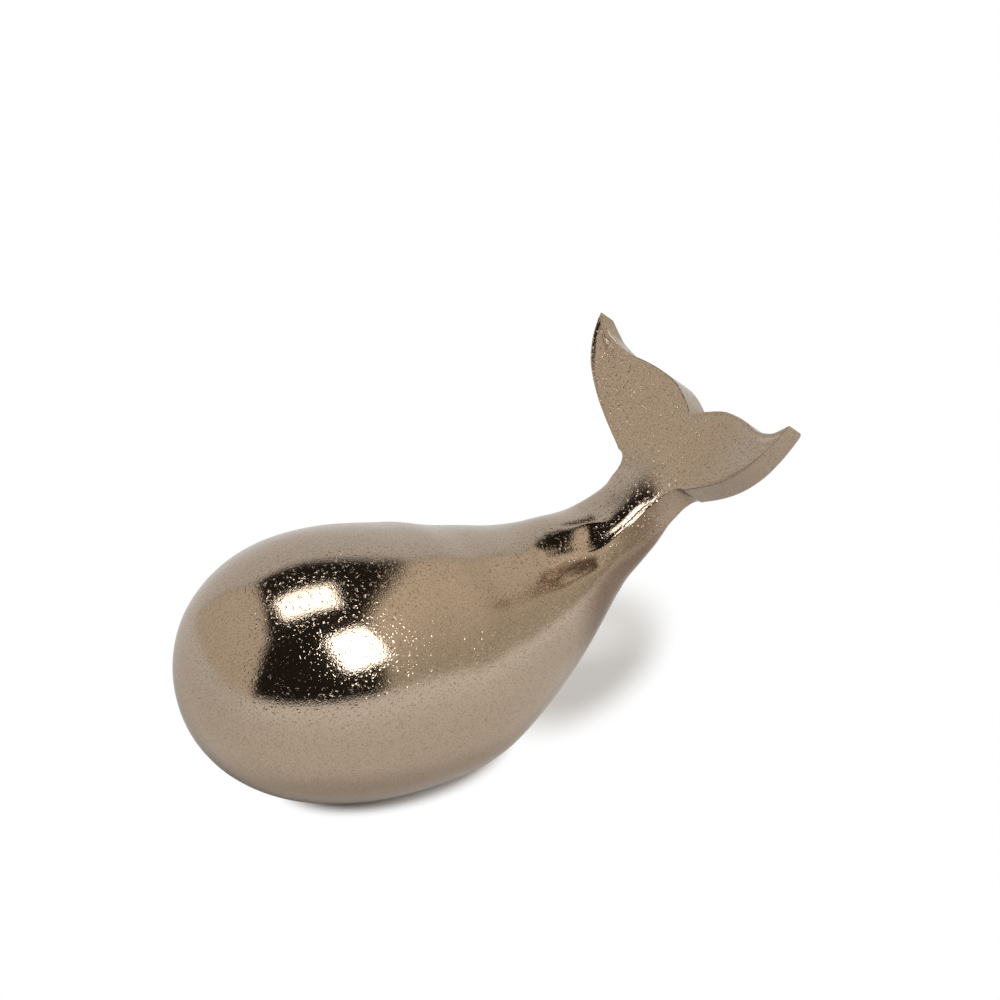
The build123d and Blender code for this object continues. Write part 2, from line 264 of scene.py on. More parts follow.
def relief(point):
    """Height of the shoulder, the lip and the crease of the tail root over the round skin."""
    x, wide = point.x, abs(point.y)
    if x < ROOT_X[0] or x > ROOT_X[1] or point.z < ROOT_Z or point.y > SMOOTH_SIDE:
        return 0.0
    along = (point - JOINT).dot(AXIS)
    drop = min(SHOULDER_RADIUS - math.sqrt(max(SHOULDER_RADIUS ** 2 - wide ** 2, 0)), SHOULDER_DROP)
    fall = SHOULDER_FALL * drop * fade(x, SHOULDER_START) * (1 - fade(along, SHOULDER_END))
    over = point.z - through(CREASE, x)
    near = fade(x, LIP_START) * (1 - fade(x, LIP_END))
    lip = LIP_RISE * near * smooth(over / 0.7) * (1 - smooth((over - 0.9) / 3.5))
    depth = CREASE_DEPTH * fade(x, CREASE_START) * (1 - fade(x, CREASE_END))
    groove = math.exp(-(over / CREASE_WIDTH) ** 2)
    return (lip - depth * groove - fall * smooth(over / 5)) * near_side(point)


def hand_ground(point, normal):
    """Skin point with the slight unevenness of hand grinding."""
    wave = 0.10 * noise.noise(point * 0.055) + 0.05 * noise.noise(point * 0.13 + Vector((9, 4, 2)))
    return point + wave * normal


def new_piece(name, points, faces, material, node, smooth_limit=40):
    """Piece from points in millimetres, smooth but for its crisp edges."""
    mesh = bpy.data.meshes.new(name)
    mesh.from_pydata([p * MM for p in points], [], faces)
    piece = bpy.data.objects.new(name, mesh)
    bpy.context.scene.collection.objects.link(piece)
    mesh.materials.append(material)
    finish_piece(piece, node, smooth_limit)
    return piece


def finish_piece(piece, node, smooth_limit):
    shape = bmesh.new()
    shape.from_mesh(piece.data)
    bmesh.ops.remove_doubles(shape, verts=shape.verts, dist=0.002 * MM)
    bmesh.ops.recalc_face_normals(shape, faces=shape.faces)
    for face in shape.faces:
        face.smooth = True
    for edge in shape.edges:
        if len(edge.link_faces) == 2:
            edge.smooth = math.degrees(edge.calc_face_angle(0)) < smooth_limit
    shape.to_mesh(piece.data)
    shape.free()
    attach(piece, "root")
    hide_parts(node)


def cut_flat(shape, place, normal):
    """Cut away what lies past a plane, and return the edges of the cut."""
    everything = shape.verts[:] + shape.edges[:] + shape.faces[:]
    cut = bmesh.ops.bisect_plane(
        shape, geom=everything, plane_co=place * MM, plane_no=normal, clear_outer=True)
    return [item for item in cut["geom_cut"] if isinstance(item, bmesh.types.BMEdge)]


def oval_loop(shape, half_length, half_width, height, count=96):
    """New closed loop of edges round an oval."""
    loop = []
    for k in range(count):
        turn = 2 * math.pi * k / count
        point = Vector((half_length * math.cos(turn), half_width * math.sin(turn), height))
        loop.append(shape.verts.new(point * MM))
    return [shape.edges.new((a, b)) for a, b in zip(loop, loop[1:] + loop[:1])]


def make_felt(material):
    """Oval pad, slightly uneven, with a soft rim."""
    profile = ((0, 0.03), (0.35, 0.02), (0.7, 0.03), (0.97, 0.02), (1.0, 0.25), (1.004, 0.6), (1.0, 0.95),
               (0.97, 1.19), (0.7, 1.18), (0.35, 1.19), (0, 1.18))
    count = 120
    points, faces = [Vector((0, 0, profile[0][1]))], []
    for share, height in profile[1:-1]:
        for k in range(count):
            turn = 2 * math.pi * k / count
            point = Vector((FELT_HALF_LENGTH * share * math.cos(turn),
                            FELT_HALF_WIDTH * share * math.sin(turn), height))
            fuzz = noise.noise(point * 0.9) * 0.12 if share > 0.98 else 0.0
            points.append(point * (1 + fuzz / FELT_HALF_WIDTH))
            points[-1].z = min(max(height + 0.02 * noise.noise(point * 0.7), 0.0), FOOT_HEIGHT)
    points.append(Vector((0, 0, profile[-1][1])))
    last = len(points) - 1
    for k in range(count):
        n = (k + 1) % count
        faces.append((0, 1 + n, 1 + k))
        faces.append((last, last - count + k, last - count + n))
        for row in range(len(profile) - 3):
            first = 1 + row * count
            faces.append((first + k, first + n, first + count + n, first + count + k))
    felt = new_piece("felt_oval", points, faces, material, "felt_pad", 70)


def make_body(material):
    """Rings from the nose on, cut off at the joint and at the foot, with the plate's recess."""
    rows = [NOSE_LENGTH * (1 - math.cos(math.pi / 2 * k / NOSE_ROWS)) for k in range(1, NOSE_ROWS)]
    while rows[-1] < BODY_END:
        rows.append(rows[-1] + (ROW_STEP if rows[-1] < FINE_FROM else FINE_ROW_STEP))
    points = [body_point(0, 0)]
    for distance in rows:
        for k in range(BODY_COLUMNS):
            turn = 2 * math.pi * k / BODY_COLUMNS
            point = body_point(distance, turn)
            centre, angle = centre_line(distance)
            outward = (point - centre).normalized()
            point = hand_ground(point, outward)
            point += relief(point) * outward
            points.append(point)
    faces = [(0, 1 + k, 1 + (k + 1) % BODY_COLUMNS) for k in range(BODY_COLUMNS)]
    for row in range(len(rows) - 1):
        first = 1 + row * BODY_COLUMNS
        for k in range(BODY_COLUMNS):
            n = (k + 1) % BODY_COLUMNS
            faces.append((first + k, first + k + BODY_COLUMNS, first + n + BODY_COLUMNS, first + n))
    last = 1 + (len(rows) - 1) * BODY_COLUMNS
    faces.append(tuple(range(last, last + BODY_COLUMNS)))
    mesh = bpy.data.meshes.new("whale_body")
    mesh.from_pydata([p * MM for p in points], [], faces)
    shape = bmesh.new()
    shape.from_mesh(mesh)
    bmesh.ops.contextual_create(shape, geom=cut_flat(shape, JOINT, AXIS))
    rim = cut_flat(shape, Vector((0, 0, FOOT_HEIGHT)), Vector((0, 0, -1)))
    half_length, half_width = PLATE_HALF_LENGTH + PLATE_PLAY, PLATE_HALF_WIDTH + PLATE_PLAY
    opening = oval_loop(shape, half_length, half_width, FOOT_HEIGHT)
    bmesh.ops.bridge_loops(shape, edges=rim + opening)
    roof = oval_loop(shape, half_length, half_width, FOOT_HEIGHT + PLATE_RECESS)
    bmesh.ops.bridge_loops(shape, edges=opening + roof)
    bmesh.ops.contextual_create(shape, geom=roof)
    shape.to_mesh(mesh)
    shape.free()
    piece = bpy.data.objects.new("whale_body", mesh)
    bpy.context.scene.collection.objects.link(piece)
    mesh.materials.append(material)
    finish_piece(piece, "body_shell", 40)


# Tail

def edge_point(place):
    """Point level with the crisp edges, and the way that the front faces there."""
    x = through(EDGE_LINE, place, 1)
    z = through(EDGE_LINE, place, 2)
    angle = math.radians(mix(JOINT_TILT, FLUKE_TILT, smooth(place)))
    if place < 0:
        x, z = EDGE_LINE[0][1], EDGE_LINE[0][2]
        back = place * 2 * FLUKE_ROOT
        x += back * math.cos(angle)
        z += back * math.sin(angle)
    return Vector((x, 0, z)), Vector((-math.sin(angle), 0, math.cos(angle)))


def line_place(up):
    """The edge line's parameter, from a height on the fluke's face."""
    return 2 + up / FLUKE_ROOT


def trail_line(across):
    """Height of the trailing edge over the notch."""
    return through([(-wide, tall) for wide, tall in (TIP, *TRAIL, (0, 0))], -abs(across))


def front_height(across, up, gap):
    """Height of the front over the edge line. gap is the distance to the outline."""
    place = line_place(up)
    hollow = FRONT_HOLLOW - math.sqrt(FRONT_HOLLOW ** 2 - across ** 2)
    crown = through(CROWN, place)
    half = stem_width(min(up, ARMPIT_START[1]))
    inside = min(abs(across) / half, 1.0)
    dome = crown * (1 - inside ** mix(2, 4, smooth(place / 0.4)))
    rise = crown * math.cos(math.pi / 2 * min(abs(across) / (half + 4), 1.0)) ** 2
    height = mix(dome, rise, fade(place, CROWN_CHANGE)) + hollow * fade(place, HOLLOW_CHANGE)
    on_fluke = fade(place, LINE_CHANGE)
    groove = mix(STEM_LINE, NEAR_LINE if across < 0 else FAR_LINE, on_fluke) * smooth((place + 0.02) / 0.12)
    height -= groove * math.exp(-((gap - mix(0.9, 1.5, on_fluke)) / mix(0.3, 0.7, on_fluke)) ** 2)
    dish = TIP_DISH * smooth((abs(across) - 34) / 9) * smooth((up - trail_line(across) + 12) / 6)
    height -= dish * math.exp(-((gap - 1.6) / 1.9) ** 2)
    if gap < FRONT_ROUND:
        height -= FRONT_ROUND - math.sqrt(FRONT_ROUND ** 2 - (FRONT_ROUND - gap) ** 2)
    return height


def fluke_share(up):
    """0 on the stem and 1 on the fluke."""
    return smooth((up + 32) / 10)


def back_height(across, up, gap):
    """Height of the back, under the edge line."""
    place = line_place(up)
    side = through(SIDE_DEPTH, place)
    under = through(UNDER_DEPTH, place)
    half = through(EDGE_WIDTH, min(place, WAIST))
    inside = min(abs(across) / half, 1.0)
    stem = -side - under * math.sqrt(1 - inside ** 2)
    plate = BACK_CROWN - math.sqrt(BACK_CROWN ** 2 - across ** 2) - FLUKE_THICKNESS
    boss = BACK_BOSS * (1 - smooth(abs(across) / 14)) * (1 - smooth((up + 24) / 14))
    plate -= boss
    if gap < BACK_ROUND:
        plate += BACK_ROUND - math.sqrt(BACK_ROUND ** 2 - (BACK_ROUND - gap) ** 2)
    return mix(stem, plate, fluke_share(up))


def tail_point(across, up, height):
    place = line_place(up)
    base, facing = edge_point(place)
    return base + Vector((0, across, 0)) + height * facing


def cuff_share(point, low):
    """0 on the body and 1 on the stem, across the slanting step. low is the depth on the flank."""
    wide = min(abs(point.y), CUFF_HALF_WIDTH)
    past = (point - JOINT).dot(AXIS) - (CUFF_START - CUFF_SLANT * wide)
    length = mix(CUFF_MIDDLE, CUFF_LENGTH, wide / CUFF_HALF_WIDTH)
    return smooth(past / mix(length, FLANK_LENGTH, smooth(low / FLANK_DEPTH)))


def root_blend(point, up, height):
    """Tail point drawn onto the body's skin near the joint, all but the stem's front and its crisp edges.
    Behind the joint the tail runs on as a collar, which sinks into the body so that the joint doesn't show."""
    place = line_place(up)
    if place >= ROOT_END:
        return point
    base, facing = edge_point(place)
    centre = base - ROOT_CORE * facing
    ray = (point - centre).normalized()
    skin = on_body(centre, ray)
    skin += relief(skin) * ray
    if place < 0:
        sunk = min(-place / COLLAR_PLACE, 1.0) ** 2
        return skin + mix(COLLAR_RISE, -COLLAR_DEPTH, sunk) * ray
    low = max(-height, 0.0)
    keep = cuff_share(point, low) * (1 - smooth(low / EDGE_DEPTH)) * near_side(point)
    return skin.lerp(point, max(keep, smooth(place / ROOT_END)))


def spline_points(points, spacing):
    """Points at an even spacing on a smooth curve through the given ones."""
    places = [0.0]
    for a, b in zip(points, points[1:]):
        places.append(places[-1] + math.hypot(b[0] - a[0], b[1] - a[1]))
    table = [(s, p[0], p[1]) for s, p in zip(places, points)]
    count = max(2, round(places[-1] / spacing))
    return [(through(table, places[-1] * k / count, 1), through(table, places[-1] * k / count, 2))
            for k in range(count + 1)]


def stem_width(up):
    return through(EDGE_WIDTH, line_place(up))


def wall_share(step):
    """Place down the side wall, in steps that are finer near its front edge."""
    return (step / WALL_STEPS) ** 1.5


def half_outline():
    """Right half of the fluke's outline, from the stem to the notch."""
    stem = []
    count = 3
    for k in range(count):
        up = mix(ROOT_UP, ARMPIT_START[1], k / count)
        stem.append((stem_width(up), up))
    arc = []
    wide, tall = ARMPIT[0] - ARMPIT_START[0], ARMPIT[1] - ARMPIT_START[1]
    for k in range(14):
        turn = math.pi / 2 * k / 14
        arc.append((ARMPIT[0] - wide * math.cos(turn), ARMPIT_START[1] + tall * math.sin(turn)))
    lead = spline_points((ARMPIT, *LEAD, TIP), OUTLINE_STEP)
    trail = spline_points((TIP, *TRAIL, (0, 0)), OUTLINE_STEP)
    return stem + arc + lead[:-1] + trail


def front_positions(width):
    """Places across the stem's front, close together near its edges."""
    inner = width - GAPS[-1]
    across = [width - gap for gap in GAPS]
    count = 12
    across += [inner * (1 - k / count) for k in range(1, count + 1)]
    return across + [-x for x in reversed(across[:-1])]


def wall_point(across, up, share):
    """Point of the side wall, share 0 at the front edge and 1 at the back edge."""
    side = 1 if across > 0 else -1
    place = line_place(up)
    top = front_height(across, up, 0.0)
    bottom = back_height(across, up, 0.0)
    bulge = (through(SIDE_WIDTH, place) - stem_width(min(up, ARMPIT_START[1]))) * (1 - fluke_share(up))
    height = mix(top, bottom, share)
    return tail_point(across + side * bulge * share * (1.2 - 0.2 * share * share), up, height), height


def back_across(across, up):
    place = line_place(up)
    width = stem_width(min(up, ARMPIT_START[1]))
    swell = mix(through(SIDE_WIDTH, place) / width, 1.0, fluke_share(up))
    return across * swell


def within(x, y, outline):
    """Whether a point is inside a closed outline."""
    crossings = 0
    for (ax, ay), (bx, by) in zip(outline, outline[1:] + outline[:1]):
        if (ay > y) != (by > y) and x < ax + (y - ay) / (by - ay) * (bx - ax):
            crossings += 1
    return crossings % 2 == 1


def make_tail(material):
    points, faces = [], []

    # Fluke: front and back sheets over one triangulated outline, joined by a wall
    right = half_outline()
    outline = right + [(-x, y) for x, y in reversed(right[:-1])]
    floor_line = [(x, ROOT_UP) for x in reversed(front_positions(stem_width(ROOT_UP)))][1:-1]
    boundary = outline + floor_line
    rim = kdtree.KDTree(len(outline) * 8)
    for k in range(len(outline) - 1):
        a, b = Vector((*outline[k], 0)), Vector((*outline[k + 1], 0))
        for part in range(8):
            rim.insert(a.lerp(b, part / 8), k * 8 + part)
    rim.balance()

    def gap_at(x, y):
        return rim.find((x, y, 0))[2]

    inner = []
    for gap in GAPS[1:]:
        for k in range(1, len(outline) - 1):
            before, after = Vector(outline[k - 1]), Vector(outline[k + 1])
            along = (after - before).normalized()
            x, y = outline[k][0] - gap * along.y, outline[k][1] + gap * along.x
            if abs(gap_at(x, y) - gap) < 0.08 * gap and y > ROOT_UP + 0.3:
                inner.append((x, y))
    near = kdtree.KDTree(len(inner))
    for k, (x, y) in enumerate(inner):
        near.insert((x, y, 0), k)
    near.balance()
    kept, dropped = [], set()
    for k, (x, y) in enumerate(inner):
        if k in dropped:
            continue
        kept.append((x, y))
        spare = 0.45 * min(OUTLINE_STEP, max(0.1, gap_at(x, y)))
        dropped.update(n for _, n, _ in near.find_range((x, y, 0), spare) if n > k)
    tall = FACE_PITCH * math.sqrt(3) / 2
    for row in range(int(45 / tall) + 1):
        y = ROOT_UP + 0.7 + row * tall
        for col in range(-58, 59):
            x = (col + 0.5 * (row % 2)) * FACE_PITCH
            if gap_at(x, y) > GAPS[-1] + 0.4 and within(x, y, boundary):
                kept.append((x, y))
    vertices = [Vector(p) for p in boundary + kept]
    ring = [(k, (k + 1) % len(boundary)) for k in range(len(boundary))]
    flat, _, triangles, origins, _, _ = geometry.delaunay_2d_cdt(vertices, ring, [], 1, 1e-5, True)
    where = {}
    for k, sources in enumerate(origins):
        for source in sources:
            where[source] = k
    spots = []
    for v in flat:
        gap = gap_at(v.x, v.y)
        if v.y < ROOT_UP + 0.01:
            gap = stem_width(ROOT_UP) - abs(v.x)
        spots.append((v.x, v.y, max(gap, 0.0)))
    for x, y, gap in spots:
        points.append(tail_point(x, y, front_height(x, y, gap)))
    back_first = len(points)
    for x, y, gap in spots:
        points.append(tail_point(back_across(x, y), y, back_height(x, y, gap)))
    for a, b, c in triangles:
        middle = (flat[a] + flat[b] + flat[c]) / 3
        if not within(middle.x, middle.y, boundary):
            continue
        faces.append((a, b, c))
        faces.append((back_first + a, back_first + c, back_first + b))
    columns = []
    for k, (x, y) in enumerate(outline):
        here = where[k]
        column = [here]
        for step in range(1, WALL_STEPS):
            share = wall_share(step)
            column.append(len(points))
            points.append(wall_point(x if x else 1e-6, y, share)[0])
        column.append(back_first + here)
        columns.append(column)
    for left, next_one in zip(columns, columns[1:]):
        for step in range(WALL_STEPS):
            faces.append((left[step], left[step + 1], next_one[step + 1], next_one[step]))

    # Stem: rings from the collar on the body up to the fluke
    def ring_points(up):
        width = stem_width(up)
        result = []
        for x in front_positions(width):
            height = front_height(x, up, width - abs(x))
            result.append(root_blend(tail_point(x, up, height), up, max(height, 0.001)))
        for step in range(1, WALL_STEPS):
            point, height = wall_point(-width, up, wall_share(step))
            result.append(root_blend(point, up, height - 0.001))
        for x in reversed(front_positions(width)):
            height = back_height(x, up, width - abs(x))
            result.append(root_blend(tail_point(back_across(x, up), up, height), up, height))
        for step in range(WALL_STEPS - 1, 0, -1):
            point, height = wall_point(width, up, wall_share(step))
            result.append(root_blend(point, up, height - 0.001))
        return result

    start = -2 * FLUKE_ROOT
    stations = [start - back for back in (6.5, 6, 5, 4, 3, 2, 1, 0.5, 0)]
    count = 34
    stations += [mix(start, ROOT_UP, k / count) for k in range(1, count + 1)]
    previous = None
    for up in stations:
        first = len(points)
        loop = ring_points(up)
        points.extend(loop)
        size = len(loop)
        if previous is None:
            faces.append(tuple(range(first, first + size)))
        else:
            for k in range(size):
                n = (k + 1) % size
                faces.append((previous + k, first + k, first + n, previous + n))
        previous = first
    new_piece("whale_tail", points, faces, material, "tail_fluke", 60)


# Materials

def linear(code):
    """Linear colour from an sRGB hex code."""
    values = []
    for k in (0, 2, 4):
        c = int(code[k:k + 2], 16) / 255
        values.append(c / 12.92 if c <= 0.04045 else ((c + 0.055) / 1.055) ** 2.4)
    return (*values, 1.0)


def add(tree, kind, links=(), **settings):
    """New node with its settings, and links given as an input and the output that feeds it."""
    node = tree.nodes.new("ShaderNode" + kind)
    for name, value in settings.items():
        if hasattr(node, name):
            setattr(node, name, value)
    for socket, source in links:
        if isinstance(source, bpy.types.NodeSocket):
            tree.links.new(source, node.inputs[socket])
        else:
            node.inputs[socket].default_value = source
    return node


def new_material(name):
    material = bpy.data.materials.new(name)
    material.use_nodes = True
    material.node_tree.nodes.clear()
    return material, material.node_tree


def span(low, high):
    """The two ends of the range that a node reads."""
    return ("From Min", low), ("From Max", high)


# The cast metal's surface, in millimetres
GRAIN, PIT = 0.5, 1.1               # sizes across
PIT_DEPTH = 1.7                     # times the grain's own height
BODY_GRAIN, FLUKE_GRAIN = 0.034, 0.075      # how far the grain is raised
FLUKE_PAINTED_SHADE = 0.35                # share of the painted shade that the stem's faces looking down get
PAINTED_CREASE_SHADE = 0.9                          # painted shade in the lower crease, at its darkest
PAINTED_CREASE_SHADE_LINE = (61.0, 58.7)            # height of the crease at its two ends
PAINTED_CREASE_SHADE_WIDTH = (2.6, 0.4)             # distance from that line, where the painted shade starts and is full


def bronze_plated_casting():
    """Sand-cast aluminium, ground by hand and plated pale bronze: a mirror with a fine sandy grain, a few
    pits, and some tarnish in the hollows of the grain, with painted shade on the stem's faces that look down
    and along the lower crease. The grain is raised more towards the fluke."""
    material, tree = new_material("bronze_plated_sand_casting")
    place = add(tree, "TexCoord").outputs["Object"]
    parts = add(tree, "SeparateXYZ", [(0, place)])
    x, y, z = (parts.outputs[axis] for axis in "XYZ")

    # Grain and pits, raised and sunk
    grain = add(tree, "TexNoise", [("Vector", place), ("Scale", 1 / (GRAIN * MM)), ("Detail", 2.0),
                                   ("Roughness", 0.6)])
    patches = add(tree, "TexNoise", [("Vector", place), ("Scale", 1 / (PIT * MM)), ("Detail", 1.0)])
    pits = add(tree, "MapRange", [("Value", patches.outputs["Fac"]), *span(0.60, 0.74), ("To Min", 0.0),
                                  ("To Max", -PIT_DEPTH)])
    height = add(tree, "Math", [(0, grain.outputs["Fac"]), (1, pits.outputs["Result"])], operation="ADD")
    raised = add(tree, "MapRange", [("Value", x), *span(85 * MM, 108 * MM), ("To Min", BODY_GRAIN * MM),
                                    ("To Max", FLUKE_GRAIN * MM)])
    bump = add(tree, "Bump", [("Height", height.outputs["Value"]), ("Strength", 1.0),
                              ("Distance", raised.outputs["Result"])])

    # Painted shade: darker colour on the faces of the stem that look down, and less of it on the fluke
    hollow = add(tree, "MapRange", [("Value", grain.outputs["Fac"]), *span(0.50, 0.30)])
    facing = add(tree, "SeparateXYZ", [(0, add(tree, "NewGeometry").outputs["Normal"])])
    painted_underside_shade = add(tree, "MapRange", [("Value", facing.outputs["Z"]), *span(0.60, 0.15)],
                  interpolation_type="SMOOTHSTEP")
    stem = add(tree, "MapRange", [("Value", x), *span(50 * MM, 70 * MM)], interpolation_type="SMOOTHSTEP")
    fluke = add(tree, "MapRange", [("Value", x), *span(90 * MM, 104 * MM), ("To Min", 1.0),
                                   ("To Max", FLUKE_PAINTED_SHADE)], interpolation_type="SMOOTHSTEP")
    for share in (stem, fluke):
        painted_underside_shade = add(tree, "Math", [(0, painted_underside_shade.outputs[0]), (1, share.outputs["Result"])],
                      operation="MULTIPLY")
    # the second colour of each pair is the painted shade on the faces that look down
    clean = add(tree, "Mix", [(0, painted_underside_shade.outputs["Value"]), (6, linear("BAA895")), (7, linear("8B7563"))],
                data_type="RGBA")
    stained = add(tree, "Mix", [(0, painted_underside_shade.outputs["Value"]), (6, linear("93806C")), (7, linear("665445"))],
                  data_type="RGBA")
    colour = add(tree, "Mix", [(0, hollow.outputs["Result"]), (6, clean.outputs[2]), (7, stained.outputs[2])],
                 data_type="RGBA")

    # Painted shade: darker colour along the lower crease, on the near side
    level = add(tree, "MapRange", [("Value", x), *span(45 * MM, 68 * MM), ("To Min", PAINTED_CREASE_SHADE_LINE[0] * MM),
                                   ("To Max", PAINTED_CREASE_SHADE_LINE[1] * MM)])
    over = add(tree, "Math", [(0, z), (1, level.outputs["Result"])], operation="SUBTRACT")
    gap = add(tree, "Math", [(0, over.outputs["Value"])], operation="ABSOLUTE")
    painted_crease_shade = add(tree, "MapRange", [("Value", gap.outputs["Value"]),
                                  *span(PAINTED_CREASE_SHADE_WIDTH[0] * MM, PAINTED_CREASE_SHADE_WIDTH[1] * MM),
                                  ("To Min", 0.0), ("To Max", PAINTED_CREASE_SHADE)], interpolation_type="SMOOTHSTEP")
    start = add(tree, "MapRange", [("Value", x), *span(46 * MM, 64 * MM)], interpolation_type="SMOOTHSTEP")
    end = add(tree, "MapRange", [("Value", x), *span(71 * MM, 68 * MM)], interpolation_type="SMOOTHSTEP")
    near = add(tree, "MapRange", [("Value", y), *span(-8 * MM, -13 * MM)])
    for share in (start, end, near):
        painted_crease_shade = add(tree, "Math", [(0, painted_crease_shade.outputs[0]), (1, share.outputs["Result"])], operation="MULTIPLY")
    # 4E3C2C is the colour of the painted shade in the crease
    colour = add(tree, "Mix", [(0, painted_crease_shade.outputs["Value"]), (6, colour.outputs[2]), (7, linear("4E3C2C"))],
                 data_type="RGBA")

    metal = add(tree, "BsdfPrincipled", [("Base Color", colour.outputs[2]), ("Metallic", 1.0),
                                         ("Roughness", 0.10), ("Normal", bump.outputs["Normal"])])
    add(tree, "OutputMaterial", [("Surface", metal.outputs["BSDF"])])
    return material


def brushed_steel(name, code, roughness):
    """Plain steel with fine streaks along x from the tool that finished it."""
    material, tree = new_material(name)
    place = add(tree, "TexCoord").outputs["Object"]
    streak = (1 / (9 * MM), 1 / (0.25 * MM), 1 / (0.25 * MM))
    drawn = add(tree, "Mapping", [("Vector", place), ("Scale", streak)])
    streaks = add(tree, "TexNoise", [("Vector", drawn.outputs["Vector"]), ("Scale", 1.0), ("Detail", 2.0)])
    bump = add(tree, "Bump", [("Height", streaks.outputs["Fac"]), ("Strength", 0.5), ("Distance", 0.01 * MM)])
    shine = add(tree, "MapRange", [("Value", streaks.outputs["Fac"]), ("To Min", roughness - 0.08),
                                   ("To Max", roughness + 0.08)])
    metal = add(tree, "BsdfPrincipled", [("Base Color", linear(code)), ("Metallic", 1.0),
                                         ("Roughness", shine.outputs["Result"]),
                                         ("Normal", bump.outputs["Normal"])])
    add(tree, "OutputMaterial", [("Surface", metal.outputs["BSDF"])])
    return material


def wool_felt():
    """Pressed charcoal wool, matt, with tangled fibres and a soft light edge."""
    material, tree = new_material("charcoal_wool_felt")
    place = add(tree, "TexCoord").outputs["Object"]
    fibres = add(tree, "TexNoise", [("Vector", place), ("Scale", 1 / (0.6 * MM)), ("Detail", 5.0),
                                    ("Distortion", 2.0)])
    colour = add(tree, "Mix", [(0, fibres.outputs["Fac"]), (6, linear("2B2826")), (7, linear("4A4541"))],
                 data_type="RGBA")
    bump = add(tree, "Bump", [("Height", fibres.outputs["Fac"]), ("Strength", 0.8), ("Distance", 0.15 * MM)])
    wool = add(tree, "BsdfPrincipled", [("Base Color", colour.outputs[2]), ("Roughness", 0.95),
                                        ("Sheen Weight", 0.3), ("Normal", bump.outputs["Normal"])])
    add(tree, "OutputMaterial", [("Surface", wool.outputs["BSDF"])])
    return material


# Studio

def toward(azimuth, elevation):
    """Unit direction, azimuth 0 looking from the object towards -Y."""
    a, e = math.radians(azimuth), math.radians(elevation)
    return Vector((math.sin(a) * math.cos(e), -math.cos(a) * math.cos(e), math.sin(e)))


# White boards round the table, which only the metal sees: each colour low and high on the board, and its
# corners as azimuth and elevation seen from the object
BOARDS = (
    ("DED6C9", "E3DCD2", ((-77, -12), (-77, 48), (-128, 62), (-165, 50), (-165, -12))),
    ("E4E4E4", "E0E1E2", ((-165, -12), (-165, 47), (155, 50), (116, 40), (116, -12))),
    ("CFC8B9", "F3E8D9", ((116, -12), (116, 34), (69, 52), (43, 52), (18, 5), (17, -12))),
)
ROOM = "2A2623"             # the dark room between the boards

# Oval on the table under the tail, where the real shadow is let show. Placed to match the photo.
SHADOW_PLACE = (86, 16, 0)
SHADOW_TURN = 34
SHADOW_SIZE = (58, 30)

CAMERA_TARGET = Vector((41.8, 0, 83.2))
CAMERA_AZIMUTH, CAMERA_ELEVATION = -35.0, 29.1
CAMERA_DISTANCE = 1.1       # metres
LENS, SENSOR = 122.8, 36.0


def make_world():
    """White for the camera, and the boards in a dark room for what the metal mirrors."""
    world = bpy.data.worlds.new("studio")
    bpy.context.scene.world = world
    world.use_nodes = True
    tree = world.node_tree
    tree.nodes.clear()
    way = add(tree, "TexCoord").outputs["Generated"]
    parts = add(tree, "SeparateXYZ", [(0, way)])
    height = add(tree, "MapRange", [("Value", parts.outputs["Z"]), ("From Min", 0.2), ("From Max", 0.62)])
    colour = None
    for low, high, corners in BOARDS:
        inside = None
        middle = sum((toward(*c) for c in corners), Vector()).normalized()
        for a, b in zip(corners, corners[1:] + corners[:1]):
            normal = toward(*a).cross(toward(*b)).normalized()
            if normal.dot(middle) < 0:
                normal = -normal
            side = add(tree, "VectorMath", [(0, way), (1, normal)], operation="DOT_PRODUCT")
            soft = add(tree, "MapRange", [("Value", side.outputs["Value"]), *span(-0.01, 0.02)],
                       interpolation_type="SMOOTHSTEP").outputs["Result"]
            inside = soft if inside is None else add(
                tree, "Math", [(0, inside), (1, soft)], operation="MULTIPLY").outputs["Value"]
        board = add(tree, "Mix", [(0, height.outputs["Result"]), (6, linear(low)), (7, linear(high))],
                    data_type="RGBA").outputs[2]
        colour = add(tree, "Mix", [(0, inside), (6, colour or linear(ROOM)), (7, board)],
                     data_type="RGBA").outputs[2]
    path = add(tree, "LightPath")
    seen = add(tree, "Mix", [(0, path.outputs["Is Camera Ray"]), (6, colour), (7, (1, 1, 1, 1))],
               data_type="RGBA").outputs[2]
    shade = add(tree, "Background", [("Color", seen), ("Strength", 1.0)])
    add(tree, "OutputWorld", [("Surface", shade.outputs["Background"])])


